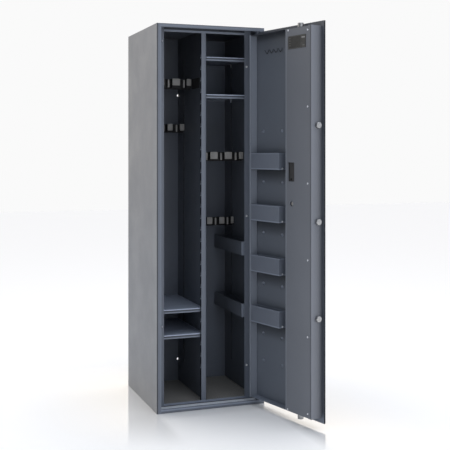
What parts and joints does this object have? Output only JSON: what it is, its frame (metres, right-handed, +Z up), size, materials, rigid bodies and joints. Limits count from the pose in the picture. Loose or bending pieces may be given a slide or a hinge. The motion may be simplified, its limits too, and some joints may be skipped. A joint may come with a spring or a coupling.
{
  "type": "gun safe",
  "caption": "Tall steel gun safe with its door open, showing barrel racks, shelves, a partition, door pockets, key hooks and sliding bolts.",
  "frame": {"origin": "centre of the cabinet's bottom face, on the floor", "axes": "+Z up, -Y out of the front (door side), +X to the hinge side"},
  "size_m": [0.6518, 1.0425, 1.85],
  "materials": {
    "cabinet_paint": "satin graphite powder coat",
    "interior_paint": "satin graphite powder coat, in shade",
    "door_paint": "satin graphite powder coat",
    "rack_foam": "matt grey felted foam",
    "floor_mat": "matt needle felt",
    "bolt_steel": "bright turned steel",
    "black_trim": "matt black"
  },
  "bodies": {
    "cabinet": {"side_panel_left": "cabinet_paint", "side_panel_right": "cabinet_paint", "top_panel": "cabinet_paint", "bottom_panel": "cabinet_paint", "rim_left": "cabinet_paint", "rim_right": "cabinet_paint", "rim_top": "cabinet_paint", "rim_bottom": "cabinet_paint", "stop_stile_left": "cabinet_paint", "stop_stile_right": "cabinet_paint", "stop_rail_top": "cabinet_paint", "stop_rail_bottom": "cabinet_paint", "divider_front": "cabinet_paint", "shelf_left_upper": "cabinet_paint", "shelf_left_lower": "cabinet_paint", "shelf_right_upper": "cabinet_paint", "shelf_right_lower": "cabinet_paint", "wall_pocket_upper": "cabinet_paint", "wall_pocket_lower": "cabinet_paint", "back_panel": "interior_paint", "divider_panel": "interior_paint", "rail_left_wall": "interior_paint", "rail_divider_left": "interior_paint", "rail_divider_right": "interior_paint", "rail_right_wall": "interior_paint", "rack_left_upper_bar": "interior_paint", "rack_left_lower_bar": "interior_paint", "rack_right_upper_bar": "interior_paint", "rack_right_lower_bar": "interior_paint", "rack_left_upper_arm": "interior_paint", "rack_left_upper_foam": "rack_foam", "rack_left_lower_foam": "rack_foam", "rack_right_upper_foam": "rack_foam", "rack_right_lower_foam": "rack_foam", "floor_mat": "floor_mat"},
    "door": {"door_plate": "door_paint", "door_side_lock": "door_paint", "door_side_hinge": "door_paint", "door_top_wall": "door_paint", "door_bottom_wall": "door_paint", "recess_panel": "door_paint", "lock_cover": "door_paint", "door_pocket_1": "door_paint", "door_pocket_2": "door_paint", "door_pocket_3": "door_paint", "door_pocket_4": "door_paint", "hinge_block_upper": "door_paint", "hinge_block_lower": "door_paint", "handle_rosette": "bolt_steel", "key_escutcheon": "bolt_steel", "rating_plate": "black_trim", "lock_case": "black_trim"},
    "lateral_bolts": {"bolt_carrier": "bolt_steel"},
    "top_bolt": {"bolt_top": "bolt_steel"},
    "bottom_bolt": {"bolt_bottom": "bolt_steel"},
    "handle": {"spindle": "bolt_steel", "handle": "bolt_steel"}
  },
  "joints": [
    {"name": "door_hinge", "type": "hinge", "parent": "cabinet", "child": "door", "pos_m": [0.2455, -0.274, 0.9265], "axis": [0, 0, 1], "range_deg": [-104.2, 0]},
    {"name": "handle_turn", "type": "hinge", "parent": "door", "child": "handle", "pos_m": [0.33533, -0.60456, 1.0026], "axis": [0.9694, 0.2453, 0], "range_deg": [-90, 0]},
    {"name": "lateral_throw", "type": "slide", "parent": "door", "child": "lateral_bolts", "axis": [0.2453, -0.9694, 0], "range_m": [0, 0.015]},
    {"name": "top_throw", "type": "slide", "parent": "door", "child": "top_bolt", "axis": [0, 0, 1], "range_m": [0, 0.013]},
    {"name": "bottom_throw", "type": "slide", "parent": "door", "child": "bottom_bolt", "axis": [0, 0, -1], "range_m": [0, 0.013]}
  ],
  "couplings": [
    {"joint": "lateral_throw", "follows": "handle_turn", "m_per_rad": -0.009545},
    {"joint": "top_throw", "follows": "handle_turn", "m_per_rad": -0.008276},
    {"joint": "bottom_throw", "follows": "handle_turn", "m_per_rad": -0.008276}
  ]
}
